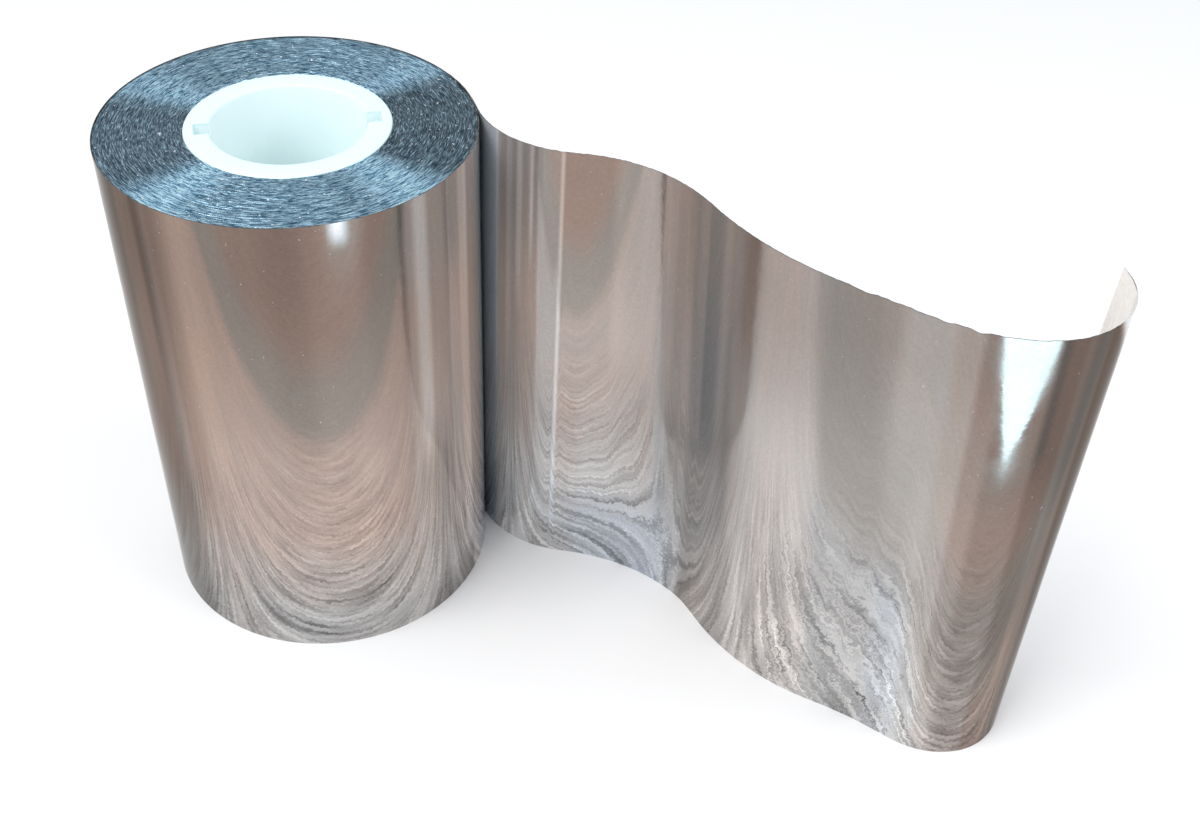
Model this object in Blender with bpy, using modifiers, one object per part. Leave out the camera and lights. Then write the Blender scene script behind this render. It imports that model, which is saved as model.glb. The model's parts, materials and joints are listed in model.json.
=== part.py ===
"""Copper foil tape roll: a notched core, the wound foil, and a free tail that stands on its edge.

The roll stands on end. The foil leaves it along a vertical peel line, and its free tail waves
away to a curl at the far end. Seen from above, the tail is a chain of bends, and it hinges about
vertical axes at its crease, at its wave and at its curl.
"""
import math

import bmesh
import bpy
from mathutils import Matrix, Vector

# Driving dimensions, in metres
TAPE_WIDTH = 0.100
ROLL_RADIUS = 0.0328
FOIL_THICKNESS = 0.00015
CORE_OUTER_RADIUS = 0.53 * ROLL_RADIUS
CORE_BORE_RADIUS = 0.41 * ROLL_RADIUS
GAP = 0.0003

# The core's rims and its drive notches
RIM_CHAMFER = 0.0005
NOTCH_WIDTH = 0.0036
NOTCH_DEPTH = 0.0080
NOTCH_REACH = 0.49 * ROLL_RADIUS

# The strip that holds the first turn to the core
STRIP_WIDTH = 0.019
STRIP_HEIGHT = 0.080
STRIP_THICKNESS = 0.00015
STRIP_BEARING = math.radians(120.0)
STRIP_STEPS = 8

# The wound foil's edges are eased by less than two turns
WINDING_CHAMFER = 0.00025
TURNED_STEPS = 96

# The outer lap hugs the roll as far as the peel line, where the foil leaves it along a tangent
PEEL_BEARING = math.radians(3.0)
LAP_ANGLE = math.radians(37.0)
LAP_STEPS = 12
LAP_RADIUS = ROLL_RADIUS + GAP + FOIL_THICKNESS / 2
PAID_OUT_LENGTH = 0.05 * ROLL_RADIUS

# The tail's bends in order, each as its length in roll radii and its turn in degrees
LEAD_BENDS = ((0.10, 17.0), (0.62, 53.0))
WAVE_BENDS = ((0.71, -42.0), (0.11, -8.0))
RUN_BENDS = ((0.11, -8.0), (0.93, 33.0), (0.58, -1.0))
CURL_BENDS = ((0.34, 26.0), (0.37, 60.0), (0.48, 45.0))
OUTLINE_STEP = 0.0020

# Colours
FOIL_BROWN = (0.50, 0.42, 0.39, 1.0)
EDGE_BLUE = (0.33, 0.39, 0.45, 1.0)
CORE_WHITE = (0.90, 0.95, 0.94, 1.0)
STRIP_CREAM = (0.85, 0.80, 0.66, 1.0)


def clear_scene():
    for old in list(bpy.data.objects):
        bpy.data.objects.remove(old, do_unlink=True)


def new_collection(name):
    collection = bpy.data.collections.new(name)
    bpy.context.scene.collection.children.link(collection)
    return collection


def principled(name, colour, roughness, metallic):
    material = bpy.data.materials.new(name)
    material.use_nodes = True
    shader = material.node_tree.nodes["Principled BSDF"]
    shader.inputs["Base Color"].default_value = colour
    shader.inputs["Roughness"].default_value = roughness
    shader.inputs["Metallic"].default_value = metallic
    return material


def add_empty(name, position, parent=None):
    """An empty on an upright axis; its position and its parent's are in the roll's frame."""
    empty = bpy.data.objects.new(name, None)
    empty.empty_display_size = 0.01
    parts.objects.link(empty)
    empty.parent = parent
    empty.location = position
    if parent is not None:
        empty.location = position - roll_place(parent)
    return empty


def roll_place(empty):
    """The empty's place in the roll's frame, where the roll axis is at 0, 0."""
    place = Vector((0.0, 0.0, 0.0))
    while empty.parent is not None:
        place += empty.location
        empty = empty.parent
    return place


def add_object(name, data, parent, material=None):
    thing = bpy.data.objects.new(name, data)
    parts.objects.link(thing)
    thing.parent = parent
    if material is not None:
        data.materials.append(material)
    return thing


def turned_ring(name, profile, parent, material):
    """A ring turned from a closed profile of (radius, height) points, outer side first, downwards."""
    mesh = bpy.data.meshes.new(name)
    shape = bmesh.new()
    points = [shape.verts.new((radius, 0.0, height)) for radius, height in profile]
    for first, second in zip(points, points[1:] + points[:1]):
        shape.edges.new((first, second))
    shape.to_mesh(mesh)
    shape.free()
    ring = add_object(name, mesh, parent, material)
    screw = ring.modifiers.new("Turn", "SCREW")
    screw.axis = "Z"
    screw.angle = math.tau
    screw.steps = TURNED_STEPS
    screw.render_steps = TURNED_STEPS
    screw.use_merge_vertices = True
    screw.merge_threshold = 0.00001
    screw.use_smooth_shade = True
    return ring


def chamfered_profile(inner, outer, height, chamfer):
    """The closed section of a tube with a chamfer on each of its four rims."""
    return (
        (outer - chamfer, height),
        (outer, height - chamfer),
        (outer, chamfer),
        (outer - chamfer, 0.0),
        (inner + chamfer, 0.0),
        (inner, chamfer),
        (inner, height - chamfer),
        (inner + chamfer, height),
    )


def add_cutter(name, size, position, parent):
    mesh = bpy.data.meshes.new(name)
    shape = bmesh.new()
    bmesh.ops.create_cube(shape, size=1.0, matrix=Matrix.Diagonal((*size, 1.0)))
    shape.to_mesh(mesh)
    shape.free()
    cutter = bpy.data.objects.new(name, mesh)
    cutters.objects.link(cutter)
    cutter.parent = parent
    cutter.location = position
    cutter.hide_render = True
    cutter.display_type = "WIRE"
    return cutter


def cut(thing, cutter):
    boolean = thing.modifiers.new(cutter.name, "BOOLEAN")
    boolean.operation = "DIFFERENCE"
    boolean.solver = "EXACT"
    boolean.object = cutter


def arc_points(radius, start, end, count):
    """Points on a circle about the roll axis, from bearing start to bearing end."""
    bearings = [start + (end - start) * step / count for step in range(count + 1)]
    return [Vector((radius * math.cos(b), radius * math.sin(b), 0.0)) for b in bearings]


def follow_bends(start, heading, bends):
    """The outline from start along one bend after another; returns it with its last heading."""
    points = [start.copy()]
    for length, turn in bends:
        run = length * ROLL_RADIUS
        count = max(1, round(run / OUTLINE_STEP))
        turn_step = math.radians(turn) / count
        for _ in range(count):
            heading += turn_step / 2
            direction = Vector((math.cos(heading), math.sin(heading), 0.0))
            points.append(points[-1] + direction * run / count)
            heading += turn_step / 2
    return points, heading


def trimmed(points, start_trim, end_trim):
    """The outline with its two ends drawn in, which leaves the gap to its neighbours."""
    first_step = (points[1] - points[0]).normalized() * start_trim
    last_step = (points[-2] - points[-1]).normalized() * end_trim
    return [points[0] + first_step] + points[1:-1] + [points[-1] + last_step]


def standing_band(name, points, thickness, height, base, parent, material):
    """A thin band that stands on edge along an outline: a flat curve, extruded and thickened."""
    origin = roll_place(parent)
    curve = bpy.data.curves.new(name, "CURVE")
    curve.dimensions = "2D"
    curve.extrude = height / 2
    spline = curve.splines.new("POLY")
    spline.points.add(len(points) - 1)
    for point, place in zip(spline.points, points):
        point.co = (place.x - origin.x, place.y - origin.y, 0.0, 1.0)
    band = add_object(name, curve, parent, material)
    band.location = (0.0, 0.0, base + height / 2)
    solidify = band.modifiers.new("Thickness", "SOLIDIFY")
    solidify.thickness = thickness
    solidify.offset = 0.0
    return band


def outline_bounds(points, margin):
    xs = [point.x for point in points]
    ys = [point.y for point in points]
    return min(xs) - margin, max(xs) + margin, min(ys) - margin, max(ys) + margin


clear_scene()
parts = new_collection("copper_foil_tape_roll")
cutters = new_collection("cutters")

# The outline of the whole web outside the roll
lap_outline = arc_points(LAP_RADIUS, PEEL_BEARING + LAP_ANGLE, PEEL_BEARING, LAP_STEPS)
peel_point = lap_outline[-1]
peel_direction = Vector((math.sin(PEEL_BEARING), -math.cos(PEEL_BEARING), 0.0))
paid_out_end = peel_point + peel_direction * PAID_OUT_LENGTH
lead_outline, heading = follow_bends(paid_out_end, PEEL_BEARING - math.pi / 2, LEAD_BENDS)
crease_point = lead_outline[-1]
wave_outline, heading = follow_bends(crease_point, heading, WAVE_BENDS)
wave_point = wave_outline[-1]
run_outline, heading = follow_bends(wave_point, heading, RUN_BENDS)
curl_point = run_outline[-1]
curl_outline, heading = follow_bends(curl_point, heading, CURL_BENDS)

# The origin is the bottom centre of the whole part's box
web = lead_outline + wave_outline + run_outline + curl_outline
low_x, high_x, low_y, high_y = outline_bounds(web, FOIL_THICKNESS / 2)
roll_place_x = (ROLL_RADIUS - high_x) / 2
roll_place_y = (-ROLL_RADIUS - low_y) / 2
roll_axis = add_empty("roll_axis", (roll_place_x, roll_place_y, 0.0))

# Empties on the joints' axes
unwind_axis = add_empty("unwind_axis", Vector((0.0, 0.0, 0.0)), roll_axis)
pay_out_axis = add_empty("pay_out_axis", paid_out_end, unwind_axis)
crease_axis = add_empty("crease_axis", crease_point, pay_out_axis)
wave_axis = add_empty("wave_axis", wave_point, crease_axis)
curl_axis = add_empty("curl_axis", curl_point, wave_axis)

foil = principled("foil", FOIL_BROWN, 0.12, 1.0)
foil_edges = principled("foil_edges", EDGE_BLUE, 0.35, 1.0)
core_plastic = principled("core_plastic", CORE_WHITE, 0.45, 0.0)
strip_tape = principled("strip_tape", STRIP_CREAM, 0.60, 0.0)

# The core: a plain tube with two opposite notches in each rim, open to the bore
core = turned_ring(
    "core",
    chamfered_profile(CORE_BORE_RADIUS, CORE_OUTER_RADIUS, TAPE_WIDTH, RIM_CHAMFER),
    roll_axis,
    core_plastic,
)
for end, rim in (("bottom", 0.0), ("top", TAPE_WIDTH)):
    notch_size = (2 * NOTCH_REACH, NOTCH_WIDTH, 2 * NOTCH_DEPTH)
    cut(core, add_cutter(f"{end}_notches", notch_size, (0.0, 0.0, rim), roll_axis))

# The start strip: an upright strip of tape, bent round the core under the first turn of foil
strip_radius = CORE_OUTER_RADIUS + GAP + STRIP_THICKNESS / 2
strip_half_angle = STRIP_WIDTH / strip_radius / 2
standing_band(
    "start_strip",
    arc_points(
        strip_radius,
        STRIP_BEARING - strip_half_angle,
        STRIP_BEARING + strip_half_angle,
        STRIP_STEPS,
    ),
    STRIP_THICKNESS,
    STRIP_HEIGHT,
    (TAPE_WIDTH - STRIP_HEIGHT) / 2,
    roll_axis,
    strip_tape,
)

# The wound foil: all its tight turns as one solid ring, whose bore clears the start strip
winding_bore = CORE_OUTER_RADIUS + GAP + STRIP_THICKNESS + GAP
turned_ring(
    "wound_foil",
    chamfered_profile(winding_bore, ROLL_RADIUS, TAPE_WIDTH, WINDING_CHAMFER),
    roll_axis,
    foil_edges,
)

# The outer lap and the foil that leaves it, then the tail's four spans, with a gap at each joint
spans = (
    ("outer_lap", lap_outline, 0.0, GAP / 2, unwind_axis),
    ("paid_out_span", [peel_point, paid_out_end], GAP / 2, GAP / 2, unwind_axis),
    ("lead_off_span", lead_outline, GAP / 2, GAP / 2, pay_out_axis),
    ("wave_span", wave_outline, GAP / 2, GAP / 2, crease_axis),
    ("far_span", run_outline, GAP / 2, GAP / 2, wave_axis),
    ("end_curl", curl_outline, GAP / 2, 0.0, curl_axis),
)
for name, outline, start_trim, end_trim, parent in spans:
    outline = trimmed(outline, start_trim, end_trim)
    standing_band(name, outline, FOIL_THICKNESS, TAPE_WIDTH, 0.0, parent, foil)
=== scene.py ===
"""The looks of the copper foil tape roll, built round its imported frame.

The roll stands on end, and its free tail stands on edge beside it. Lengths along the tail and
across the roll are given in roll radii, and everything else in metres. The web's two edges run a
little apart, so the tail leans and twists slightly about the upright outline of the CAD spans.
"""
import json
import math

import bpy
import numpy as np
from mathutils import Matrix, Vector, noise


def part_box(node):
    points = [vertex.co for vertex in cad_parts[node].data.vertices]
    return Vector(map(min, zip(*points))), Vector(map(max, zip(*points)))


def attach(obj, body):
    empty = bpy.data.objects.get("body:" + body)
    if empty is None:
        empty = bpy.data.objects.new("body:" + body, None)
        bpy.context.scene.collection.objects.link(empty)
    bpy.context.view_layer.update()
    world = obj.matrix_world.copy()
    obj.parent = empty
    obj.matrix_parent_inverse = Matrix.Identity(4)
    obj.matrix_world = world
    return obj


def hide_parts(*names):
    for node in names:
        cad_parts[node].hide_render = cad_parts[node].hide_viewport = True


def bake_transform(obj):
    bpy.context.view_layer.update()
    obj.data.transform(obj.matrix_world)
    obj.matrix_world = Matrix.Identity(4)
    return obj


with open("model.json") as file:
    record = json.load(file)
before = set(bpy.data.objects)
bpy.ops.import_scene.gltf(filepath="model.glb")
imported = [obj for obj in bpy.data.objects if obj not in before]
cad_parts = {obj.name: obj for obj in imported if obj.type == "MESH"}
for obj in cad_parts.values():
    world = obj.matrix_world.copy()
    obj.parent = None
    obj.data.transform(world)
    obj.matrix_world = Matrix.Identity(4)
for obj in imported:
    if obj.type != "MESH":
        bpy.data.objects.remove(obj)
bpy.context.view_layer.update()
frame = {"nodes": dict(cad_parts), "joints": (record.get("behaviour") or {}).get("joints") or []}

# The frame's own measures
winding_low, winding_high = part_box("wound_foil")
core_low, core_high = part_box("core")
joints = {joint["name"]: joint for joint in frame["joints"]}
AXIS = np.array([(winding_low.x + winding_high.x) / 2, (winding_low.y + winding_high.y) / 2])
RADIUS = (winding_high.x - winding_low.x) / 2
HEIGHT = winding_high.z
CORE_RADIUS = (core_high.x - core_low.x) / 2

# The core: a collar at each end, the bore, and the notches cut in its rims
COLLAR_HEIGHT = 0.0005
COLLAR_LENGTH = 0.006
COLLAR_SLOPE = 0.001
COLLAR_RADIUS = CORE_RADIUS + COLLAR_HEIGHT
BORE_RADIUS = 0.41 * RADIUS
NOTCH_REACH = 0.49 * RADIUS
NOTCH_WIDTH = 0.0036
NOTCH_DEPTH = 0.0080

# The web: its thickness, the lap's end at the peel line and its angle, and the straight piece
# after the peel line, in roll radii
FOIL = 0.00015
PEEL_BEARING = math.radians(3.0)
PEEL_DIRECTION = np.array([math.sin(PEEL_BEARING), -math.cos(PEEL_BEARING)])
LAP_ANGLE = math.radians(37.0)
PAID_OUT = 0.05

# The lap starts a little inside the roll's skin and rises a little above it, in roll radii
LAP_SINK = 0.006
LAP_RISE = 0.004

# How finely the web is divided, and how many times its outline is softened
LAP_COLUMNS = 36
COLUMN_STEP = 0.0006
ROWS = 72
SOFTENING = 26

# The bends of the tail's top and bottom edges: length in roll radii, turn in degrees
TOP_BENDS = (
    (0.12, 14), (0.61, 57), (0.63, -45), (0.22, -13), (0.82, 27),
    (0.58, 4), (0.49, 37), (0.50, 54), (0.34, 45),
)
BOTTOM_BENDS = (
    (0.04, 13), (0.64, 56), (0.76, -36), (0.26, -23), (0.99, 40),
    (0.50, -13), (0.42, 50), (0.41, 58), (0.40, 45),
)


def smooth_step(value, start, end):
    """0 before start, 1 after end, and an even curve between them; end may be below start."""
    share = np.clip((value - start) / (end - start), 0.0, 1.0)
    return share * share * (3.0 - 2.0 * share)


def between(value, start, end, start_soft, end_soft):
    """1 between start and end, fading out over the two soft widths."""
    rise = smooth_step(value, start - start_soft / 2, start + start_soft / 2)
    fall = smooth_step(value, end + end_soft / 2, end - end_soft / 2)
    return rise * fall


def polar(radius, bearing):
    """Flat points at the given distances and bearings."""
    return np.stack([radius * np.cos(bearing), radius * np.sin(bearing)], -1)


def ring_bearings(columns):
    return np.linspace(0.0, 2 * math.pi, columns, endpoint=False)


# Camera: its place in roll radii from the roll's foot, its turns, and its lens in millimetres

CAMERA_BACK = 6.676
CAMERA_HEIGHT = 6.783
CAMERA_PAN = math.radians(14.98)
CAMERA_PITCH = math.radians(41.18)
CAMERA_ROLL = math.radians(3.32)
CAMERA_LENS = 41.68


def make_camera():
    """Looks from in front of the roll and above it, panned towards the tail."""
    ahead = Vector((
        math.sin(CAMERA_PAN) * math.cos(CAMERA_PITCH),
        math.cos(CAMERA_PAN) * math.cos(CAMERA_PITCH),
        -math.sin(CAMERA_PITCH),
    ))
    level = Vector((math.cos(CAMERA_PAN), -math.sin(CAMERA_PAN), 0.0))
    upright = level.cross(ahead)
    right = math.cos(CAMERA_ROLL) * level + math.sin(CAMERA_ROLL) * upright
    up = math.cos(CAMERA_ROLL) * upright - math.sin(CAMERA_ROLL) * level
    data = bpy.data.cameras.new("camera")
    data.lens = CAMERA_LENS
    camera = bpy.data.objects.new("camera", data)
    bpy.context.scene.collection.objects.link(camera)
    turn = Matrix((right, up, -ahead)).transposed().to_4x4()
    place = Vector((AXIS[0], AXIS[1] - CAMERA_BACK * RADIUS, CAMERA_HEIGHT * RADIUS))
    camera.matrix_world = Matrix.Translation(place) @ turn
    bpy.context.scene.camera = camera


# Mesh helpers

SHARP_FOIL = math.radians(50.0)
SHARP_PLASTIC = math.radians(35.0)


def new_object(name, vertices, faces, materials):
    mesh = bpy.data.meshes.new(name)
    mesh.from_pydata(vertices.reshape(-1, 3).tolist(), [], faces)
    for material in materials:
        mesh.materials.append(material)
    mesh.shade_smooth()
    thing = bpy.data.objects.new(name, mesh)
    bpy.context.scene.collection.objects.link(thing)
    return thing


def grid_faces(columns, rows, wrap_columns=False, wrap_rows=False):
    """Quads over a grid whose vertex number is column * rows + row."""
    faces = []
    for column in range(columns if wrap_columns else columns - 1):
        beside = (column + 1) % columns
        for row in range(rows if wrap_rows else rows - 1):
            above = (row + 1) % rows
            faces.append((
                column * rows + row,
                beside * rows + row,
                beside * rows + above,
                column * rows + above,
            ))
    return faces


def to_world(flat, level):
    """Points in roll radii from the axis, with their height in metres, as world points."""
    return np.concatenate([AXIS + flat * RADIUS, level[..., None]], -1)


def thicken(thing):
    """Gives a surface the foil's thickness, with its own materials on the back and the cut edge."""
    thick = thing.modifiers.new("Thickness", "SOLIDIFY")
    thick.thickness = FOIL
    thick.offset = 0.0
    thick.material_offset = 1
    thick.material_offset_rim = 2
    bpy.context.view_layer.objects.active = thing
    bpy.ops.object.modifier_apply(modifier=thick.name)
    thing.data.set_sharp_from_angle(angle=SHARP_FOIL)


def set_attribute(thing, name, kind, values):
    attribute = thing.data.attributes.new(name, kind, "POINT")
    field = "vector" if kind == "FLOAT_VECTOR" else "value"
    attribute.data.foreach_set(field, np.asarray(values, np.float32).ravel())


def paint(thing, places, height, **looks):
    """Stores what the foil's material reads: where its painted reflection lies, with the height,
    then the looks, which carry its painted light.
    """
    vectors = np.column_stack([places.reshape(-1, 2), height.reshape(-1)])
    set_attribute(thing, "reflected_place", "FLOAT_VECTOR", vectors)
    for name, values in looks.items():
        set_attribute(thing, name, "FLOAT", values)


def noise_grid(first, second, seed):
    """Smooth noise at each pair of coordinates, from about -1 to 1."""
    shape = np.broadcast(first, second).shape
    pairs = np.stack(np.broadcast_arrays(first, second), -1).reshape(-1, 2)
    values = [noise.noise(Vector((a, b, seed))) for a, b in pairs]
    return np.array(values).reshape(shape)


def line_noise(place, rate, seed):
    return noise_grid(place * rate, 0.0, seed)


def ring_noise(bearings, levels, reach, octaves):
    """Smooth noise at each bearing and level, without a seam round the ring.

    Each octave is its share of the sum and how many times finer it is than the first.
    """
    values = np.zeros((len(bearings), len(levels)))
    for column, bearing in enumerate(bearings):
        for row, level in enumerate(levels):
            spot = Vector((math.cos(bearing) * reach, math.sin(bearing) * reach, level))
            values[column, row] = sum(share * noise.noise(spot * finer) for share, finer in octaves)
    return values


# The web's outline, in roll radii from the roll's axis, as two edges with a point for each column

def edge_outline(bends, counts):
    """One edge: the lap round the roll, the straight piece at the peel line, then the bends."""
    bearings = np.linspace(PEEL_BEARING + LAP_ANGLE, PEEL_BEARING, LAP_COLUMNS + 1)
    rise = smooth_step(np.linspace(0.0, 1.0, LAP_COLUMNS + 1), 0.0, 0.4)
    points = list(polar(1.0 - LAP_SINK + (LAP_RISE + LAP_SINK) * rise, bearings))
    heading = PEEL_BEARING - math.pi / 2
    for (length, turn), count in zip(((PAID_OUT, 0),) + bends, counts):
        step = length / count
        turn_step = math.radians(turn) / count
        for _ in range(count):
            heading += turn_step / 2
            points.append(points[-1] + polar(step, heading))
            heading += turn_step / 2
    return np.array(points)


def softened(points):
    """Rounds the joins between bends, as springy foil does, and keeps the two end points."""
    for _ in range(SOFTENING):
        inner = points[:-2] / 4 + points[1:-1] / 2 + points[2:] / 4
        points = np.concatenate([points[:1], inner, points[-1:]])
    return points


longest = [max(a[0], b[0]) for a, b in zip(TOP_BENDS, BOTTOM_BENDS)]
bend_counts = [math.ceil(length * RADIUS / COLUMN_STEP) for length in [PAID_OUT] + longest]
top_edge = softened(edge_outline(TOP_BENDS, bend_counts))
bottom_edge = softened(edge_outline(BOTTOM_BENDS, bend_counts))
middle_line = (top_edge + bottom_edge) / 2
COLUMNS = len(top_edge)

# Where each column lies along the bends: -1 at the lap's start, -0.5 at the peel line, 0 after the
# straight piece, 1 after the first bend, and so on
bend_ends = LAP_COLUMNS + np.cumsum(bend_counts)
along = np.interp(np.arange(COLUMNS), [0, LAP_COLUMNS, *bend_ends], [-1, -0.5, *range(10)])


def level_normals(run):
    """Unit normals that lie level, on the view side of a surface that runs this way."""
    run = run / np.linalg.norm(run, axis=2, keepdims=True)
    return np.stack([run[..., 1], -run[..., 0]], -1)


def foil_surface():
    """The web's mid surface: its points, and their heights as shares of the roll's height."""
    share = np.linspace(0.0, 1.0, ROWS)
    flat = (
        top_edge[:, None, :] * share[None, :, None]
        + bottom_edge[:, None, :] * (1 - share)[None, :, None]
    )
    return flat, np.broadcast_to(share[None, :], flat.shape[:2])


# Painted reflection: the foil carries long fine stripes that are a painted reflection of wood grain
# on the surface below, laid out as straight grain lines would fan out over curved metal. A line
# from a fixed point in front of the roll, at about the camera's place, mirrored by the foil, meets
# the floor somewhere, and the stripes are bands of equal distance there.

REFLECTION_EYE = np.array([0.0, -6.68])
REFLECTION_EYE_HEIGHT = 6.78


def reflected_floor_places(flat, normal, height):
    """Where the floor mirrored at each point lies, in roll radii: the two coordinates of the
    painted reflection.
    """
    level = height * HEIGHT / RADIUS
    line = flat - REFLECTION_EYE
    distance = np.linalg.norm(line, axis=-1, keepdims=True)
    line = line / distance
    mirrored = line - 2 * (line * normal).sum(-1, keepdims=True) * normal
    drop = (REFLECTION_EYE_HEIGHT - level)[..., None]
    return flat + level[..., None] * distance / drop * mirrored


# Painted light along the tail: broad tones that stand for bands of mirrored surroundings, for light
# and shade in the gap by the roll, and for painted highlights such as thin bright lines at the
# crease. Each gives from, to, their two soft edges, the height where the tone is full and how far
# below it fades out (or above it, if negative), then what it adds to brightness, to warmth and to
# haze, which is the share of the foil that scatters light instead of mirroring it
TAIL_PAINTED_LIGHT = (
    (-1.0, 1.22, 0.10, 0.08, 0.00, 0.10, -0.10, -0.75, 0.68),
    (-1.0, 1.22, 0.10, 0.08, 0.90, 0.60, 0.26, 0.00, 0.00),
    (0.80, 1.26, 0.20, 0.08, 0.30, 0.20, 0.24, 0.15, 0.00),
    (1.195, 1.215, 0.015, 0.015, 0.60, 0.30, 0.40, -0.10, 0.00),
    (1.22, 1.70, 0.08, 0.03, 0.00, 0.10, 0.10, 0.05, 0.52),
    (1.22, 1.40, 0.08, 0.06, 0.00, 0.10, 0.28, 0.05, 0.00),
    (1.34, 1.37, 0.02, 0.02, 0.70, 0.25, 0.35, -0.20, 0.00),
    (1.44, 1.50, 0.04, 0.04, 0.80, 0.20, 0.35, -0.30, 0.00),
    (1.22, 1.70, 0.08, 0.03, 0.95, 0.30, -0.36, -0.30, -0.10),
    (1.22, 1.70, 0.08, 0.03, 0.65, 0.30, 0.00, 0.40, 0.00),
    (1.58, 1.61, 0.03, 0.03, 0.85, 0.15, 0.60, -0.30, 0.00),
    (1.70, 1.87, 0.03, 0.02, 0.00, 0.10, 0.05, 0.00, 0.05),
    (1.70, 1.87, 0.03, 0.02, 0.90, 0.40, -0.18, 0.15, 0.00),
    (1.862, 1.885, 0.008, 0.01, 0.20, 0.20, 1.50, -1.30, 0.00),
    (1.88, 2.79, 0.02, 0.02, 0.30, 0.20, 0.05, 0.30, 0.00),
    (1.88, 2.50, 0.02, 0.30, 0.95, 0.40, -0.26, 0.25, 0.00),
    (2.48, 2.79, 0.25, 0.02, 0.95, 0.50, -0.28, 0.00, 0.00),
    (1.30, 3.40, 0.20, 0.30, 0.12, -0.30, 0.45, -0.40, 0.00),
    (2.35, 2.95, 0.10, 0.05, 0.65, 0.20, 0.14, 0.00, 0.00),
    (2.10, 2.95, 0.20, 0.05, 0.35, -0.20, 0.12, -0.20, 0.00),
    (2.79, 3.45, 0.02, 0.30, 0.45, 0.15, -0.05, 0.05, 0.45),
    (2.79, 3.60, 0.02, 0.30, 0.90, 0.40, -0.10, 0.35, 0.00),
    (3.45, 4.30, 0.30, 0.14, 0.36, 0.24, -0.45, -0.02, 0.84),
    (3.60, 4.30, 0.20, 0.10, 0.95, 0.25, 0.05, 0.45, 0.00),
    (3.95, 6.60, 0.20, 0.20, 0.12, -0.20, 0.14, 0.00, 0.00),
    (5.85, 7.50, 0.20, 0.20, 0.58, -0.20, 0.16, 0.00, 0.00),
    (4.40, 4.90, 0.10, 0.20, 0.58, -0.20, 0.14, 0.00, 0.00),
    (3.95, 4.15, 0.10, 0.08, 0.60, 0.20, -0.12, -0.20, 0.00),
    (4.32, 4.95, 0.12, 0.10, 0.00, 0.10, 0.22, 0.00, 0.00),
    (4.32, 5.50, 0.12, 0.30, 0.95, 0.40, -0.36, 0.15, 0.00),
    (4.32, 4.85, 0.12, 0.20, 0.90, 0.30, 0.00, 0.25, 0.00),
    (4.95, 6.05, 0.12, 0.15, 0.00, 0.10, 0.12, -0.25, 0.00),
    (5.60, 6.30, 0.20, 0.10, 0.00, 0.10, 0.16, -0.20, 0.00),
    (5.50, 6.48, 0.20, 0.10, 0.96, 0.20, -0.20, 0.10, 0.00),
    (6.30, 6.52, 0.10, 0.10, 0.30, 0.30, -0.15, 0.10, 0.00),
    (6.52, 7.00, 0.12, 0.10, 0.00, 0.10, -0.38, 0.25, 0.00),
    (7.00, 9.50, 0.10, 0.10, 0.00, 0.10, -0.56, 0.60, 0.00),
    (7.35, 9.50, 0.15, 0.10, 0.00, 0.10, -0.14, 0.35, 0.00),
    (4.22, 4.46, 0.14, 0.12, 0.50, 0.20, -0.22, 0.10, 0.30),
    (7.00, 7.10, 0.05, 0.08, 0.80, 0.10, -0.10, -0.60, 0.00),
    (6.52, 9.50, 0.12, 0.10, 0.20, -0.20, 0.08, -0.10, 0.00),
    (7.28, 7.54, 0.08, 0.10, 0.00, 0.10, 0.02, 0.20, 0.30),
)
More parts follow.
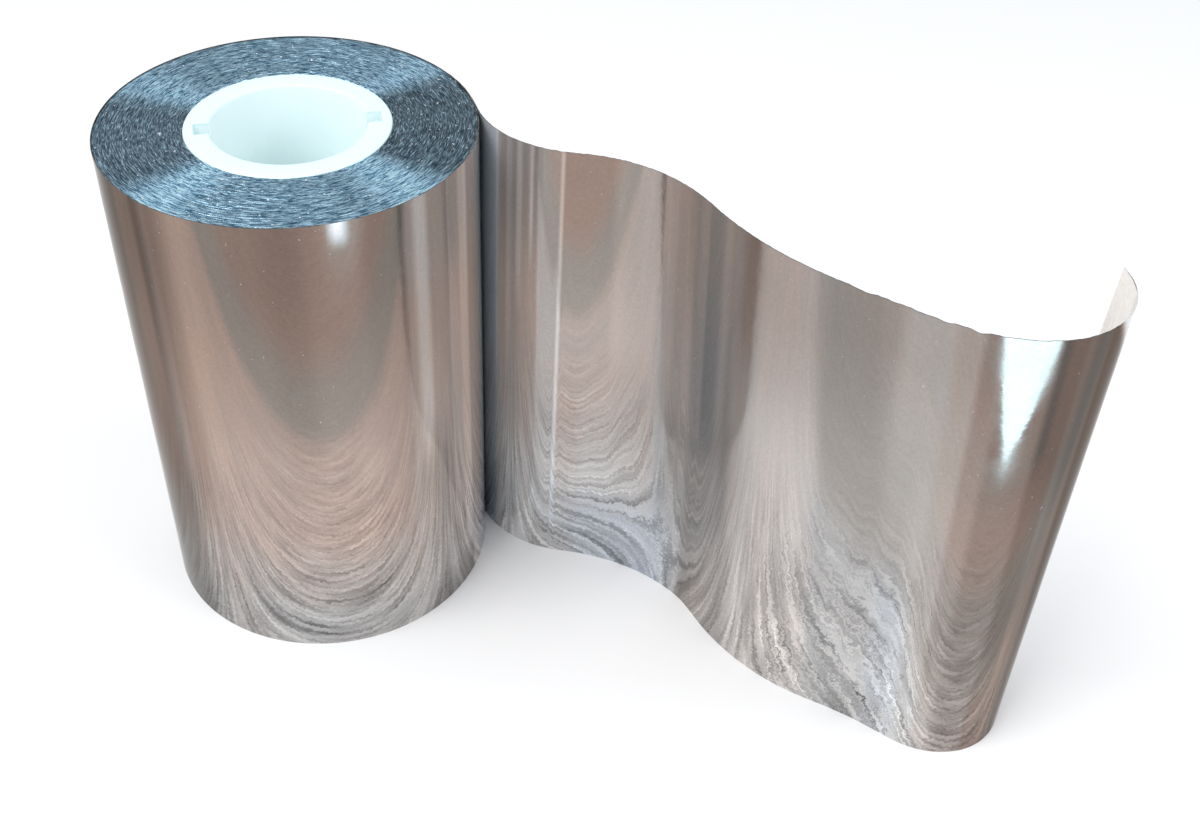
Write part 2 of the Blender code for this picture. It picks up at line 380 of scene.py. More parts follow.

# The same painted light round the roll, by bearing in degrees, with a painted highlight near its
# top at about -80 degrees
ROLL_PAINTED_LIGHT = (
    (-400.0, 400.0, 1.0, 1.0, 0.95, 0.55, -0.36, 0.25, 0.00),
    (-400.0, 400.0, 1.0, 1.0, 0.34, 0.32, -0.06, 0.50, 0.00),
    (-400.0, 400.0, 1.0, 1.0, 0.20, -0.20, 0.08, -0.10, 0.00),
    (-188.0, -140.0, 32.0, 14.0, 0.00, 0.10, -0.36, -0.10, 0.00),
    (-172.0, -144.0, 6.0, 8.0, 0.50, 0.30, -0.04, 0.45, 0.00),
    (-164.0, -143.0, 6.0, 4.0, 0.80, 0.30, 0.07, 0.10, 0.00),
    (-152.0, -143.5, 4.0, 3.0, 0.75, 0.35, 0.17, 0.05, 0.00),
    (-145.0, -139.0, 4.0, 4.0, 0.60, 0.40, -0.06, 0.00, 0.00),
    (-137.0, -130.0, 4.0, 6.0, 0.50, 0.30, -0.16, 0.25, 0.00),
    (-130.0, -112.0, 8.0, 10.0, 0.60, 0.30, 0.04, 0.05, 0.00),
    (-102.0, -92.0, 8.0, 8.0, 0.55, 0.30, -0.06, 0.05, 0.00),
    (-90.0, -74.0, 6.0, 6.0, 0.60, 0.30, 0.06, 0.00, 0.00),
    (-85.0, -75.0, 7.0, 7.0, 0.99, 0.24, 0.16, -0.80, 0.00),
    (-82.4, -78.2, 3.6, 3.6, 0.990, 0.045, 1.90, -2.60, 0.00),
    (-60.0, -57.0, 2.0, 2.0, 0.50, 0.15, 0.10, 0.10, 0.00),
    (-61.0, -31.0, 3.0, 2.0, 0.12, 0.10, 0.00, 0.00, 0.64),
    (-128.0, -62.0, 8.0, 8.0, 0.30, 0.20, 0.07, 0.05, 0.00),
    (-128.0, -62.0, 8.0, 8.0, 0.62, 0.15, -0.07, 0.00, 0.00),
    (-134.0, -122.0, 5.0, 5.0, 0.62, 0.30, 0.08, 0.10, 0.00),
    (-57.0, -52.0, 3.0, 2.6, 0.56, 0.20, 0.66, -0.20, 0.00),
    (-44.0, -33.0, 3.0, 3.0, 0.92, 0.22, -0.20, 0.05, 0.00),
    (-52.0, -47.0, 2.0, 2.0, 0.48, 0.14, 0.14, 0.10, 0.00),
    (-47.0, -43.0, 2.0, 1.5, 0.38, 0.14, 0.14, 0.10, 0.00),
    (-43.0, -41.5, 0.8, 0.8, 0.30, 0.14, 0.42, -0.15, 0.00),
    (-41.5, -36.5, 1.0, 2.0, 0.28, 0.14, 0.36, 0.05, 0.00),
    (-36.5, -31.0, 2.0, 2.0, 0.20, 0.15, 0.66, 0.05, 0.00),
    (-29.0, -17.0, 3.0, 4.0, 0.00, 0.10, 0.12, 0.05, 0.00),
    (-53.0, -40.0, 3.0, 2.0, 0.46, -0.10, -0.10, 0.00, 0.00),
    (-64.0, 3.0, 8.0, 4.0, 0.92, 0.20, 0.00, -0.35, 0.00),
    (-31.0, -21.0, 2.0, 4.0, 0.00, 0.10, 0.30, -0.05, 0.58),
    (-21.0, 10.0, 4.0, 6.0, 0.00, 0.10, 0.12, -0.55, 0.72),
)


def tones(place, height, table):
    """What the painted light tables add to brightness, warmth and haze at each point."""
    sums = [np.zeros(height.shape) for _ in range(3)]
    for start, end, soft_start, soft_end, full, fade, *parts in table:
        here = between(place, start, end, soft_start, soft_end)
        here = here * smooth_step(height, full - fade, full)
        for total, part in zip(sums, parts):
            total += part * here
    return sums


# Materials

class Nodes:
    """A short way to write a material's node tree."""

    def __init__(self, name):
        self.material = bpy.data.materials.new(name)
        self.material.use_nodes = True
        self.tree = self.material.node_tree
        self.shader = self.tree.nodes["Principled BSDF"]

    def add(self, kind, values=None, **settings):
        node = self.tree.nodes.new(kind)
        for key, value in settings.items():
            setattr(node, key, value)
        for key, value in (values or {}).items():
            self.put(node, key, value)
        return node

    def put(self, node, key, value):
        socket = node.inputs[key]
        if isinstance(value, bpy.types.NodeSocket):
            self.tree.links.new(value, socket)
        else:
            socket.default_value = value

    def set(self, **values):
        for key, value in values.items():
            self.put(self.shader, key.replace("_", " "), value)

    def maths(self, operation, first, second=0.0, third=0.0, clamp=False):
        values = {0: first, 1: second, 2: third}
        return self.add("ShaderNodeMath", values, operation=operation, use_clamp=clamp).outputs[0]

    def noise(self, vector, scale, detail=2.0, roughness=0.5, distortion=0.0):
        values = {
            "Vector": vector, "Scale": scale, "Detail": detail,
            "Roughness": roughness, "Distortion": distortion,
        }
        return self.add("ShaderNodeTexNoise", values).outputs["Fac"]

    def stretched(self, vector, scale, offset=(0.0, 0.0, 0.0)):
        values = {"Vector": vector, "Scale": scale, "Location": offset}
        return self.add("ShaderNodeMapping", values).outputs["Vector"]

    def range(self, value, low, high, new_low, new_high):
        values = {0: value, 1: low, 2: high, 3: new_low, 4: new_high}
        return self.add("ShaderNodeMapRange", values).outputs[0]

    def mix(self, share, first, second, blend="MIX"):
        node = self.add("ShaderNodeMix", data_type="RGBA", blend_type=blend)
        self.put(node, 0, share)
        self.put(node, 6, first)
        self.put(node, 7, second)
        return node.outputs[2]

    def attribute(self, name, output):
        return self.add("ShaderNodeAttribute", attribute_name=name).outputs[output]

    def bump(self, height, strength, distance):
        values = {"Height": height, "Strength": strength, "Distance": distance}
        return self.add("ShaderNodeBump", values).outputs["Normal"]


def rgb(red, green, blue):
    return (red, green, blue, 1.0)


# The foil's colours: pairs that a broad noise mixes, then single ones. The warm and cool pairs are
# partly the foil's own tint and partly a painted reflection of the wood and cool light around it;
# the coldest, far and farthest colours are painted reflection colours.
COOL_COLOURS = (rgb(0.34, 0.335, 0.33), rgb(0.42, 0.41, 0.405))
WARM_COLOURS = (rgb(0.41, 0.295, 0.240), rgb(0.49, 0.36, 0.30))
BACK_COLOURS = (rgb(0.53, 0.50, 0.47), rgb(0.63, 0.60, 0.57))
COLDEST_REFLECTION_COLOUR = rgb(0.27, 0.33, 0.41)
FAR_REFLECTION_COLOUR = rgb(0.29, 0.262, 0.235)
FARTHEST_REFLECTION_COLOUR = rgb(0.37, 0.255, 0.21)
FLECK_COLOUR = rgb(0.85, 0.84, 0.82)
FOIL_GLANCE = rgb(0.62, 0.60, 0.58)

# How strong the foil's marks are (the painted reflection stripes and a random speckle), its plain
# tone, and how the back differs
LINE_WEIGHT = 0.62
FINE_WEIGHT = 1.38
REFLECTED_GRAIN_STRENGTH = 2.0
SPECKLE_STRENGTH = 0.28
PLAIN_TONE = 0.97
BACK_SHINE = 0.6
BACK_METAL = 0.55


def foil_material(name, back=False):
    """Bright brown-grey metal with long fine stripes and warm and cool bands, a painted reflection
    with painted light and shade, and small flecks.

    The back face grows paler and plainer along the tail, by the attribute "pale".
    """
    n = Nodes(name)
    place = n.add("ShaderNodeTexCoord").outputs["Object"]
    reflected_place = n.attribute("reflected_place", "Vector")
    split = n.add("ShaderNodeSeparateXYZ", {0: reflected_place})
    height = split.outputs[2]
    ragged = n.attribute("ragged", "Fac")
    bright = n.attribute("bright", "Fac")

    # The painted reflection stripes at three widths, frayed across, and strongest near the floor
    fray = n.maths("MULTIPLY_ADD", n.noise(place, 1300.0, 2.0, 0.6), 0.06, split.outputs[1])
    jags = n.maths("MULTIPLY", n.noise(place, 420.0, 3.0, 0.7), ragged)
    fray = n.maths("MULTIPLY_ADD", jags, 0.15, fray)
    frayed = n.add("ShaderNodeCombineXYZ", {0: split.outputs[0], 1: fray}).outputs[0]
    broad = n.noise(n.stretched(reflected_place, (0.35, 2.4, 0.0), (1.3, 4.2, 0.0)), 1.0, 3.0, 0.55, 0.3)
    lines = n.noise(n.stretched(frayed, (0.7, 9.0, 0.0), (3.3, 1.9, 0.0)), 1.0, 3.0, 0.6, 0.4)
    fine = n.noise(n.stretched(frayed, (1.3, 34.0, 0.0), (7.1, 2.6, 0.0)), 1.0, 3.0, 0.65, 0.4)
    near_floor = n.range(height, 0.60, 0.08, 0.09, 1.05)
    near_floor = n.maths("MULTIPLY_ADD", ragged, 0.18, near_floor)
    reflected_grain = n.maths("MULTIPLY_ADD", lines, LINE_WEIGHT, n.maths("MULTIPLY", fine, FINE_WEIGHT))
    reflected_grain = n.maths("MULTIPLY", n.maths("SUBTRACT", reflected_grain, 1.0), near_floor)

    # Colour, by warmth and by how far off the mirrored floor lies: a painted reflection colour
    drift = n.maths("MULTIPLY_ADD", broad, 0.6, -0.15)
    drift = n.maths("ADD", drift, n.attribute("warm", "Fac"))
    cool = n.mix(broad, *COOL_COLOURS)
    warm = n.mix(broad, *WARM_COLOURS)
    colour = n.mix(n.maths("ADD", drift, 0.0, clamp=True), cool, warm)
    colour = n.mix(n.range(drift, -0.1, -1.0, 0.0, 1.0), colour, COLDEST_REFLECTION_COLOUR)
    colour = n.mix(n.range(fray, -2.62, -2.92, 0.0, 0.75), colour, FAR_REFLECTION_COLOUR)
    farthest = n.range(fray, -3.40, -4.00, 0.0, 0.80)
    red_share = n.maths("ADD", drift, 0.35, clamp=True)
    colour = n.mix(n.maths("MULTIPLY", farthest, red_share), colour, FARTHEST_REFLECTION_COLOUR)

    # Light and dark: painted light and shade from the attribute "bright", lifted by the reflection
    # stripes, with a random speckle
    lift = n.maths("MULTIPLY_ADD", reflected_grain, REFLECTED_GRAIN_STRENGTH, 1.0)
    speckle = n.maths("SUBTRACT", n.noise(place, 1700.0, 2.0, 0.7), 0.5)
    lift = n.maths("MULTIPLY_ADD", speckle, SPECKLE_STRENGTH, lift)
    tone = n.maths("MULTIPLY", n.maths("ADD", bright, PLAIN_TONE), lift)
    colour = n.mix(1.0, colour, tone, "MULTIPLY")
    metal = n.maths("SUBTRACT", 1.0, n.attribute("haze", "Fac"))
    # The back: plainer and paler along the tail, its shine taken from the painted light tone
    if back:
        pale = n.attribute("pale", "Fac")
        plain = n.mix(broad, *BACK_COLOURS)
        shine = n.maths("MULTIPLY_ADD", n.maths("ABSOLUTE", bright), BACK_SHINE, PLAIN_TONE)
        plain = n.mix(1.0, plain, n.maths("MULTIPLY", shine, lift), "MULTIPLY")
        colour = n.mix(pale, colour, plain)
        metal = n.maths("MULTIPLY", metal, n.range(pale, 0.0, 1.0, 1.0, BACK_METAL))

    fleck = n.range(n.noise(place, 1900.0, 1.0, 0.5), 0.77, 0.81, 0.0, 0.4)
    smudge = n.noise(place, 90.0, 3.0, 0.6)
    n.set(
        Base_Color=n.mix(fleck, colour, FLECK_COLOUR),
        Metallic=metal,
        Roughness=n.range(smudge, 0.3, 0.7, 0.07, 0.16),
        Normal=n.bump(n.noise(place, 420.0, 4.0, 0.6), 0.04, 0.0003),
        Specular_Tint=FOIL_GLANCE,
    )
    return n.material


def edge_material():
    """The steel-blue ends of the wound turns, their blue partly a painted reflection of cool light:
    fine broken concentric lines, a painted bow-tie sheen and painted glints.
    """
    n = Nodes("foil_edges")
    turns = n.attribute("turns", "Vector")
    painted_sheen = n.attribute("painted_sheen", "Fac")
    lines = n.noise(turns, 1.0, 4.0, 0.75, 0.1)
    coarse = n.noise(n.stretched(turns, (0.22, 0.5, 1.0)), 1.0, 2.0, 0.5)
    share = n.range(lines, 0.44, 0.59, 0.0, 1.0)
    colour = n.mix(share, rgb(0.022, 0.090, 0.155), rgb(0.50, 0.74, 0.88))
    colour = n.mix(n.range(coarse, 0.35, 0.7, 0.0, 0.2), colour, rgb(0.11, 0.21, 0.29))
    # Painted bow-tie sheen
    colour = n.mix(1.0, colour, painted_sheen, "MULTIPLY")
    colour = n.mix(n.range(lines, 0.56, 0.65, 0.0, 0.9), colour, rgb(0.46, 0.70, 0.84))
    place = n.add("ShaderNodeTexCoord").outputs["Object"]
    # Painted glints: small bright points
    painted_glint = n.range(n.noise(place, 1300.0, 1.0, 0.5), 0.71, 0.76, 0.0, 1.0)
    colour = n.mix(painted_glint, colour, rgb(0.95, 0.98, 1.0))
    n.set(
        Base_Color=colour,
        Metallic=0.85,
        Roughness=n.range(lines, 0.3, 0.7, 0.38, 0.24),
        Normal=n.bump(lines, 0.7, 0.0002),
    )
    return n.material


def cut_edge_material():
    """The foil's cut edge: darker, with small bright nicks, and a painted highlight by the tail's
    end.
    """
    n = Nodes("foil_cut_edge")
    place = n.add("ShaderNodeTexCoord").outputs["Object"]
    nicks = n.noise(place, 900.0, 3.0, 0.6)
    nicked = n.range(nicks, 0.4, 0.75, 0.0, 1.0)
    colour = n.mix(nicked, rgb(0.09, 0.08, 0.075), rgb(0.40, 0.37, 0.35))
    colour = n.mix(n.attribute("edge_highlight", "Fac"), colour, rgb(0.95, 0.97, 0.97))
    n.set(Base_Color=colour, Metallic=1.0, Roughness=n.range(nicks, 0.3, 0.7, 0.45, 0.25))
    return n.material


# How far from each end the core's painted rim shade starts to show, and where it is full
RIM_SHADE_START = 0.0006
RIM_SHADE_FULL = 0.0001


def core_material():
    """White moulded plastic with a faint cyan cast and a soft mould grain; its rims are painted
    darker and more cyan, as painted shade against the stronger light they get.
    """
    n = Nodes("core_plastic")
    place = n.add("ShaderNodeTexCoord").outputs["Object"]
    cloud = n.noise(place, 60.0, 3.0, 0.55)
    grain = n.noise(place, 1400.0, 3.0, 0.6)
    colour = n.mix(cloud, rgb(0.80, 0.94, 0.95), rgb(0.85, 0.965, 0.97))
    level = n.add("ShaderNodeSeparateXYZ", {0: place}).outputs[2]
    middle = HEIGHT / 2
    from_middle = n.maths("ABSOLUTE", n.maths("SUBTRACT", level, middle))
    # The rims' painted shade
    rim = n.range(from_middle, middle - RIM_SHADE_START, middle - RIM_SHADE_FULL, 0.0, 1.0)
    n.set(
        Base_Color=n.mix(rim, colour, rgb(0.66, 0.85, 0.855)),
        Roughness=n.range(cloud, 0.3, 0.7, 0.38, 0.52),
        Normal=n.bump(grain, 0.12, 0.0002),
        Subsurface_Weight=0.15,
        Subsurface_Radius=(0.004, 0.005, 0.005),
        Subsurface_Scale=0.5,
    )
    return n.material


def strip_material():
    """The start strip: creased paper tape."""
    n = Nodes("strip_tape")
    place = n.add("ShaderNodeTexCoord").outputs["Object"]
    crepe = n.noise(n.stretched(place, (900.0, 900.0, 120.0)), 1.0, 3.0, 0.6)
    colour = n.mix(crepe, rgb(0.72, 0.66, 0.50), rgb(0.86, 0.81, 0.66))
    n.set(Base_Color=colour, Roughness=0.75, Normal=n.bump(crepe, 0.4, 0.0002))
    return n.material


def floor_material():
    n = Nodes("floor")
    place = n.add("ShaderNodeTexCoord").outputs["Object"]
    cloud = n.noise(place, 5.0, 2.0, 0.5)
    n.set(Base_Color=n.mix(cloud, rgb(0.84, 0.84, 0.84), rgb(0.87, 0.87, 0.87)), Roughness=0.9)
    return n.material


# The tail

# The crease: its place along the bends, how far it stands out, and its width along the bends
CREASE_PLACE = 1.875
CREASE_HEIGHT = 0.007
CREASE_WIDTH = 0.012

# How deep the flutes are, in roll radii, and the wear of the top edge, in metres
FLUTE = 0.0011
EDGE_DIP = 0.00012
CRIMP_DIP = 0.0007

# The noise behind them: how often it waves along the bends and over the height, and its seed
FLUTE_NOISE = (5.0, 0.8, 1.7)
DENT_NOISE = (3.0, 7.0, 8.2)
CREASE_NOISE = (9.0, 4.4)
WEAR_NOISE = (30.0, 2.2)
CRIMP_NOISE = (6.0, 9.1)

# Stretches of the tail: from, to, and their two soft edges
CALM_SPAN = (6.1, 7.4, 0.3, 0.3)
CRIMPED_SPAN = (4.9, 6.9, 0.4, 0.4)
RAGGED_SPAN = (4.65, 6.30, 0.4, 0.5)
# DARK_TIP: where the cut edge at the tail's tip keeps its dark colour, without the painted
# highlight
DARK_TIP = (8.45, 8.85, 0.2, 0.2)

# How the back grows pale: a share of it, and where that share starts and is full; the second step,
# at the curl, is a painted highlight on its inner side
PALE_STEPS = ((0.55, 0.2, 1.6), (0.45, 6.6, 7.8))

# The painted highlight at the tail's end, a pale wedge: where it starts at the top edge, how much
# later it starts at the foot, how soft it is at the top, and what it does to brightness, warmth and
# haze
END_HIGHLIGHT_START = 7.66
END_HIGHLIGHT_SLANT = 2.5
END_HIGHLIGHT_EDGE = 0.10
END_HIGHLIGHT_BRIGHT = 1.9
END_HIGHLIGHT_COOL = 1.1
END_HIGHLIGHT_HAZE = 0.6

# How far a piece's blend line reaches on each side of a hinge, and after the peel line, in metres
HINGE_BLEND = 0.0045
PEEL_BLEND = 0.0040

# The tail's pieces: name, the two bodies on either side of it, the hinge there (None at the peel
# line), the CAD nodes it replaces, and where it ends along the bends
TAIL_PIECES = (
    ("tail_lead", "peel_line", "tail_lead", None, ("outer_lap", "paid_out_span"), 1.30),
    ("tail_crease", "tail_lead", "tail_wave", "crease_fold", ("lead_off_span",), 2.50),
    ("tail_wave", "tail_wave", "tail_far", "wave_flex", ("wave_span",), 5.30),
    ("tail_curl", "tail_far", "tail_end", "curl_flex", ("far_span", "end_curl"), 9.00),
)


def web_noise(height, along_rate, height_rate, seed):
    return noise_grid(along[:, None] * along_rate, height * height_rate, seed)


def shaped_surface(flat, height):
    """The web with its raised crease, its shallow upright flutes and its small dents."""
    crease = CREASE_HEIGHT * np.exp(-(((along - CREASE_PLACE) / CREASE_WIDTH) ** 2))
    wander = line_noise(height[0], *CREASE_NOISE)
    crease = crease[:, None] * (0.75 + 0.25 * wander[None, :])
    free = smooth_step(along, 0.0, 1.5) * (1.0 - 0.9 * between(along, *CALM_SPAN))
    flutes = web_noise(height, *FLUTE_NOISE)
    dents = web_noise(height, *DENT_NOISE) * smooth_step(height, 0.5, 0.0)
    offset = crease + free[:, None] * FLUTE * (flutes + 0.5 * dents)
    return flat + offset[..., None] * level_normals(np.gradient(flat, axis=0))


def edge_dips(height):
    """How far the worn top edge dips below its full height, in metres."""
    wear = line_noise(along, *WEAR_NOISE)
    crimp = line_noise(along, *CRIMP_NOISE) * between(along, *CRIMPED_SPAN)
    dips = EDGE_DIP * (1.0 + wear) + CRIMP_DIP * np.clip(crimp, 0.0, 1.0)
    return dips[:, None] * smooth_step(height, 0.94, 1.0)


def tail_looks(flat, height):
    """What the foil's material reads: the roll's painted light on the lap, the tail's own after it,
    and the painted highlight at the tail's end.
    """
    lap = smooth_step(along, 0.1, -0.45)[:, None]
    bearing = np.degrees(np.arctan2(flat[..., 1], flat[..., 0]))
    on_roll = tones(bearing, height, ROLL_PAINTED_LIGHT)
    on_tail = tones(along[:, None], height, TAIL_PAINTED_LIGHT)
    bright, warm, haze = [lap * a + (1.0 - lap) * b for a, b in zip(on_roll, on_tail)]
    # The painted highlight at the tail's end, on its face and its cut edge
    below = END_HIGHLIGHT_SLANT * (1.0 - height)
    end_highlight = smooth_step((along[:, None] - END_HIGHLIGHT_START - below) / (END_HIGHLIGHT_EDGE + below), 0.0, 1.0)
    pale = sum(share * smooth_step(along, start, full) for share, start, full in PALE_STEPS)
    return {
        "bright": bright + END_HIGHLIGHT_BRIGHT * end_highlight,
        "warm": warm - END_HIGHLIGHT_COOL * end_highlight,
        "haze": haze * (1.0 - end_highlight) + END_HIGHLIGHT_HAZE * end_highlight,
        "pale": np.broadcast_to(pale[:, None], height.shape),
        "ragged": between(along, *RAGGED_SPAN)[:, None] * smooth_step(height, 0.60, 0.40),
        "edge_highlight": end_highlight * (1.0 - between(along, *DARK_TIP)[:, None]),
    }


def bend_direction(point):
    """Which way the web runs where it passes nearest a point of the floor, in metres."""
    nearest = np.linalg.norm(AXIS + middle_line * RADIUS - point, axis=1).argmin()
    step = middle_line[nearest + 2] - middle_line[nearest - 2]
    return step / np.linalg.norm(step)


def blend_line(hinge):
    """Where a piece's blend line starts and ends: across its hinge, or from the end of the peel."""
    if hinge is None:
        peel_end = [np.interp(0.0, along, middle_line[:, axis]) for axis in (0, 1)]
        start = np.append(AXIS + np.array(peel_end) * RADIUS, HEIGHT / 2)
        return start, start + np.append(PEEL_DIRECTION, 0.0) * PEEL_BLEND
    middle = np.array(joints[hinge]["pos_m"])
    direction = np.append(bend_direction(middle[:2]), 0.0)
    return middle - direction * HINGE_BLEND, middle + direction * HINGE_BLEND


def make_tail(materials):
    """The tail's four pieces. Each crosses one joint, and its seams lie where the foil is rigid."""
    flat, height = foil_surface()
    flat = shaped_surface(flat, height)
    places = reflected_floor_places(flat, level_normals(np.gradient(flat, axis=0)), height)
    looks = tail_looks(flat, height)
    world = to_world(flat, height * HEIGHT - edge_dips(height))
    start = 0
    for name, first_body, second_body, hinge, nodes, seam in TAIL_PIECES:
        end = min(int(np.searchsorted(along, seam)) + 1, COLUMNS)
        keep = slice(start, end)
        piece = new_object(name, world[keep], grid_faces(end - start, ROWS), materials)
        own_looks = {look: values[keep] for look, values in looks.items()}
        paint(piece, places[keep], height[keep], **own_looks)
        thicken(piece)
        blend_start, blend_end = blend_line(hinge)
        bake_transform(piece)
        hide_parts(*nodes)
        start = end - 1


# The roll

# The outermost turn: its grid, then its flutes, with their depth in roll radii, how far the noise
# reaches round and up, its octaves, and the noise's mean and swing as shares of the depth
SKIN_COLUMNS = 400
SKIN_ROWS = 96
SKIN_WAVE = 0.0012
SKIN_REACH = 3.0
SKIN_RISE = 1.2
SKIN_OCTAVES = ((1.0, 1.0), (0.3, 3.1))
SKIN_MEAN = 0.5
SKIN_SWING = 0.38

# Its degrees wrap round behind the roll, where no tone changes
WRAP_BEARING = math.radians(140.0)


def make_roll_skin(materials):
    """The outermost turn on the roll: a thin shell with faint flutes."""
    bearing = ring_bearings(SKIN_COLUMNS)
    share = np.linspace(0.0, 1.0, SKIN_ROWS)
    waves = ring_noise(bearing, share * SKIN_RISE, SKIN_REACH, SKIN_OCTAVES)
    bearing = bearing[:, None]
    height = np.broadcast_to(share[None, :], waves.shape)
    depth = SKIN_WAVE * (SKIN_MEAN + SKIN_SWING * waves)
    flat = polar(1.0 - depth - FOIL / RADIUS / 2, bearing)
    normal = level_normals(np.roll(flat, -1, axis=0) - np.roll(flat, 1, axis=0))
    degrees = np.degrees(bearing) - 360.0 * (bearing > WRAP_BEARING)
    # Painted light round the roll: reflection bands, shade and a highlight, by bearing
    bright, warm, haze = tones(degrees, height, ROLL_PAINTED_LIGHT)
    faces = grid_faces(SKIN_COLUMNS, SKIN_ROWS, wrap_columns=True)
    skin = new_object("roll_skin", to_world(flat, height * HEIGHT), faces, materials)
    places = reflected_floor_places(flat, normal, height)
    paint(skin, places, height, bright=bright, warm=warm, haze=haze)
    thicken(skin)
    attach(skin, "roll")


# The wound turns: their grid, their gap to the core, and the hollow that leaves room for the start
# strip, with how far it keeps from both ends
END_COLUMNS = 320
END_RINGS = 130
CORE_GAP = 0.00005
STRIP_POCKET = 0.0008
POCKET_MARGIN = 0.006

# How uneven their ends are, in metres, the shares of it that differ from turn to turn and along
# each turn, and how far the noise reaches round and from turn to turn
END_SEED = 11
TURN_JITTER = 0.00007
TURN_STEPS = 0.8
TURN_WAVES = 1.1
TURN_REACH = 5.0
TURN_RISE = 0.9

# The lines on the ends: how much they break up round the roll, and their pitch across it
LINE_AROUND = 14.0
LINE_PITCH = 0.00016

# The tone of the ends, and the dark sectors of their painted bow-tie sheen, painted shade to the
# left and
# right: middle and half width in degrees, how much darker they are, and how far their edge fades
# out and in
END_TONE = 0.95
DARK_SECTORS = ((184.0, 30.0, 0.50), (-9.0, 34.0, 0.62))
FADE_OUT = 6.0
FADE_IN = 8.0

# Their bright borders, a painted highlight: how far out and how wide in degrees, how bright, and
# how much brighter towards the camera
BORDER_OUT = 10.0
BORDER_WIDTH = 9.0
BORDER_TONE = 0.68
BORDER_TILT = 0.26


def bow_tie_painted_light(degrees):
    """Painted light on the wound ends, read as a bow tie: painted shade to the left and right, a
    painted highlight along its borders.
    """
    tone = np.full(degrees.shape, END_TONE)
    border = BORDER_TONE - BORDER_TILT * np.sin(np.radians(degrees))
    for middle, half_width, depth in DARK_SECTORS:
        away = np.abs((degrees - middle + 180.0) % 360.0 - 180.0)
        tone -= depth * smooth_step(away, half_width + FADE_OUT, half_width - FADE_IN)
        tone += border * np.exp(-(((away - half_width - BORDER_OUT) / BORDER_WIDTH) ** 2))
    return tone


def make_roll_turns(edges):
    """The wound turns: both ends show every turn a little higher or lower than the next."""
    rng = np.random.default_rng(END_SEED)
    inner = COLLAR_RADIUS + CORE_GAP
    outer = RADIUS - FOIL - SKIN_WAVE * RADIUS
    rings = np.linspace(inner, outer, END_RINGS)
    steps = rng.uniform(-1.0, 1.0, END_RINGS)
    bearing = ring_bearings(END_COLUMNS)
    waves = ring_noise(bearing, np.arange(END_RINGS) * TURN_RISE, TURN_REACH, ((1.0, 1.0),))
    relief = TURN_JITTER * (TURN_STEPS * steps[None, :] + TURN_WAVES * waves)
    relief -= relief.max()
    pocket = np.full(2, inner + STRIP_POCKET)
    pocket_levels = np.array([POCKET_MARGIN, HEIGHT - POCKET_MARGIN])
    profile_radius = np.concatenate([rings[::-1], pocket, rings])
    level = np.concatenate([
        -relief[:, ::-1],
        np.broadcast_to(pocket_levels, (END_COLUMNS, 2)),
        HEIGHT + relief,
    ], axis=1)
    radius, around = np.broadcast_arrays(profile_radius, bearing[:, None])
    faces = grid_faces(*level.shape, wrap_columns=True, wrap_rows=True)
    world = to_world(polar(radius, around) / RADIUS, level)
    turns = new_object("roll_turns", world, faces, [edges])
    vectors = np.concatenate([polar(LINE_AROUND, around), (radius / LINE_PITCH)[..., None]], -1)
    set_attribute(turns, "turns", "FLOAT_VECTOR", vectors)
    # The painted bow-tie sheen, by bearing
    set_attribute(turns, "painted_sheen", "FLOAT", bow_tie_painted_light(np.degrees(around)))
    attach(turns, "roll")
    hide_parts("wound_foil")


# The core's grid, and the rounding of its rims
CORE_COLUMNS = 240
RIM_ROUND = 0.0005
RIM_STEPS = 4


def core_profile():
    """The tube's section, as radius and level: down the outside, and up the bore."""
    profile = []
    corners = (
        (COLLAR_RADIUS, HEIGHT, -1, -1, 90),
        (COLLAR_RADIUS, 0.0, -1, 1, 0),
        (BORE_RADIUS, 0.0, 1, 1, -90),
        (BORE_RADIUS, HEIGHT, 1, -1, 180),
    )
    waist = COLLAR_LENGTH + COLLAR_SLOPE
    for corner, (radius, level, inward, upward, start) in enumerate(corners):
        if corner == 1:
            profile += [
                (COLLAR_RADIUS, HEIGHT - COLLAR_LENGTH), (CORE_RADIUS, HEIGHT - waist),
                (CORE_RADIUS, waist), (COLLAR_RADIUS, COLLAR_LENGTH),
            ]
        for step in range(RIM_STEPS + 1):
            angle = math.radians(start - 90.0 * step / RIM_STEPS)
            profile.append((
                radius + inward * RIM_ROUND + RIM_ROUND * math.cos(angle),
                level + upward * RIM_ROUND + RIM_ROUND * math.sin(angle),
            ))
    return np.array(profile)


def cut_notches(core, level):
    """Cuts the two opposite notches of the rim at this level, as one bar across the bore."""
    bpy.ops.mesh.primitive_cube_add(size=1.0, location=(*AXIS, level))
    cutter = bpy.context.active_object
    cutter.scale = (2 * NOTCH_REACH, NOTCH_WIDTH, 2 * NOTCH_DEPTH)
    bpy.context.view_layer.update()
    boolean = core.modifiers.new("Notches", "BOOLEAN")
    boolean.operation = "DIFFERENCE"
    boolean.object = cutter
    bpy.context.view_layer.objects.active = core
    bpy.ops.object.modifier_apply(modifier=boolean.name)
    bpy.data.objects.remove(cutter, do_unlink=True)


def make_core(plastic):
    """The core tube with rounded rims, and two opposite notches cut in each rim from the bore."""
    profile = core_profile()
    flat = polar(profile[None, :, 0], ring_bearings(CORE_COLUMNS)[:, None]) / RADIUS
    level = np.broadcast_to(profile[None, :, 1], flat.shape[:2])
    faces = grid_faces(*level.shape, wrap_columns=True, wrap_rows=True)
    faces = [face[::-1] for face in faces]
    core = new_object("core_tube", to_world(flat, level), faces, [plastic])
    for end in (0.0, HEIGHT):
        cut_notches(core, end)
    core.data.set_sharp_from_angle(angle=SHARP_PLASTIC)
    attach(core, "roll")
    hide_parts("core")


# Studio

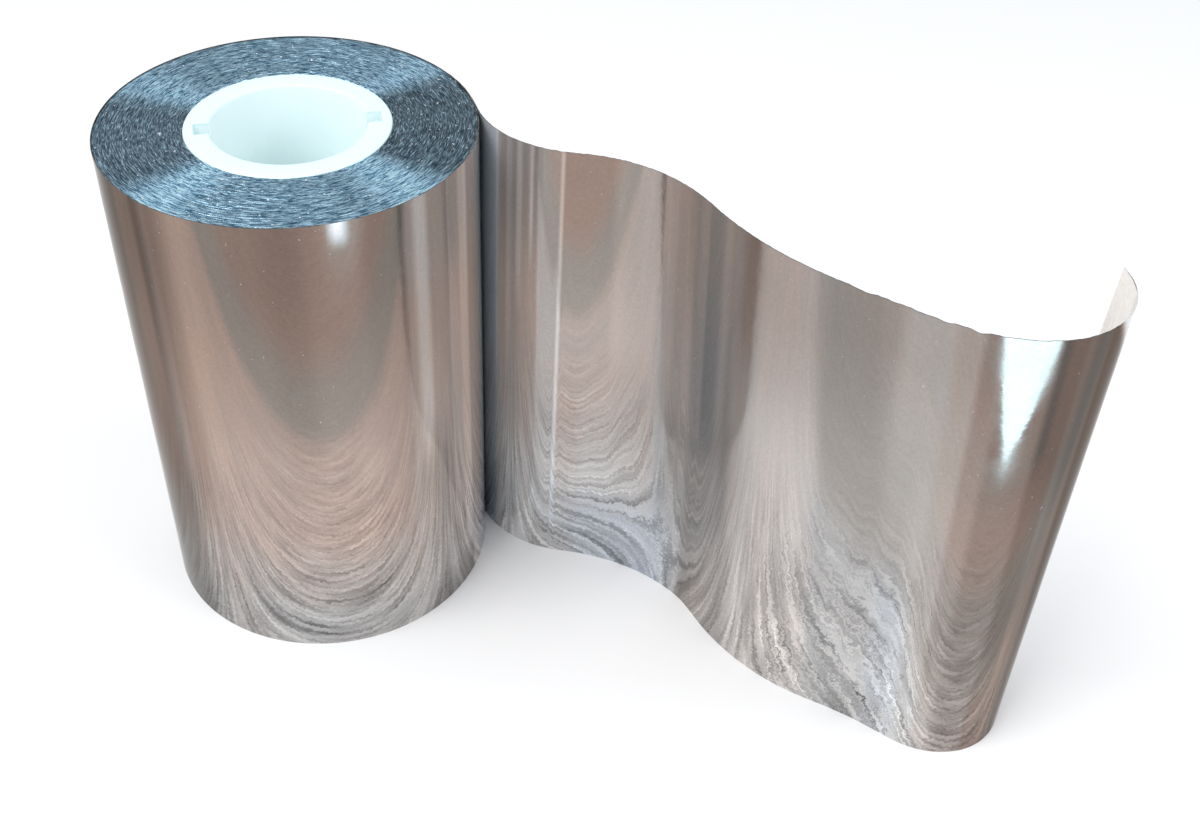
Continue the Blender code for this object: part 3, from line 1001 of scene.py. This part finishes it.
SKY_COLOUR = rgb(0.93, 0.96, 1.0)
SKY_STRENGTH = 0.75
FLOOR_SIZE = 40.0

# The main lights: place, target and size in metres, and power in watts
MAIN_LIGHTS = (
    ("key", (-0.45, -0.20, 0.75), (0.0, 0.0, 0.05), (0.5, 0.5), 5.0),
    ("fill", (0.60, -0.35, 0.60), (0.0, 0.0, 0.05), (0.6, 0.4), 2.5),
)

# A narrow light straight above the bore: height and size in metres, power in watts, and spread in
# degrees
BORE_LIGHT_HEIGHT = 0.45
BORE_LIGHT_SIZE = (0.008, 0.008)
BORE_LIGHT_POWER = 0.034
BORE_LIGHT_SPREAD = 2.5

# Low lights before the roll, unseen by the camera, that the foil mirrors: place and size in roll
# radii, turn in degrees, and power in watts
LOW_LIGHTS = (
    ("low_light_left", (2.77, -6.53), (2.60, 1.60), 37.4, 0.12),
    ("low_light_right", (3.88, -6.52), (2.60, 1.60), -36.9, 0.12),
)
LOW_LIGHT_HEIGHT = 0.002
LOW_LIGHT_COLOUR = (0.42, 0.80, 1.0)


def area_light(name, place, target, size, power, colour=(1.0, 1.0, 1.0), spread=180.0):
    data = bpy.data.lights.new(name, "AREA")
    data.shape = "RECTANGLE"
    data.size, data.size_y = size
    data.energy = power
    data.color = colour
    data.spread = math.radians(spread)
    light = bpy.data.objects.new(name, data)
    bpy.context.scene.collection.objects.link(light)
    light.location = place
    light.rotation_euler = (Vector(target) - Vector(place)).to_track_quat("-Z", "Y").to_euler()
    return light


def make_studio():
    """Pale surroundings, the lights and the floor."""
    world = bpy.data.worlds.new("studio")
    world.use_nodes = True
    backdrop = world.node_tree.nodes["Background"]
    backdrop.inputs["Color"].default_value = SKY_COLOUR
    backdrop.inputs["Strength"].default_value = SKY_STRENGTH
    bpy.context.scene.world = world
    for light in MAIN_LIGHTS:
        area_light(*light)
    area_light(
        "bore_light", (*AXIS, BORE_LIGHT_HEIGHT), (*AXIS, 0.0), BORE_LIGHT_SIZE, BORE_LIGHT_POWER,
        spread=BORE_LIGHT_SPREAD,
    )
    for name, place, size, turn, power in LOW_LIGHTS:
        centre = AXIS + np.array(place) * RADIUS
        light = area_light(
            name, (*centre, LOW_LIGHT_HEIGHT), (*centre, 1.0),
            (size[0] * RADIUS, size[1] * RADIUS), power, colour=LOW_LIGHT_COLOUR,
        )
        light.rotation_euler = (math.pi, 0.0, math.radians(turn))
        light.visible_camera = False
    bpy.ops.mesh.primitive_plane_add(size=FLOOR_SIZE)
    floor = bpy.context.active_object
    floor.name = "floor"
    floor.data.materials.append(floor_material())
    bpy.context.scene.view_settings.view_transform = "Standard"


make_camera()
make_studio()
foil_materials = [foil_material("foil"), foil_material("foil_back", True), cut_edge_material()]
make_roll_skin(foil_materials)
make_roll_turns(edge_material())
make_core(core_material())
make_tail(foil_materials)
strip_materials = frame["nodes"]["start_strip"].data.materials
strip_materials.clear()
strip_materials.append(strip_material())
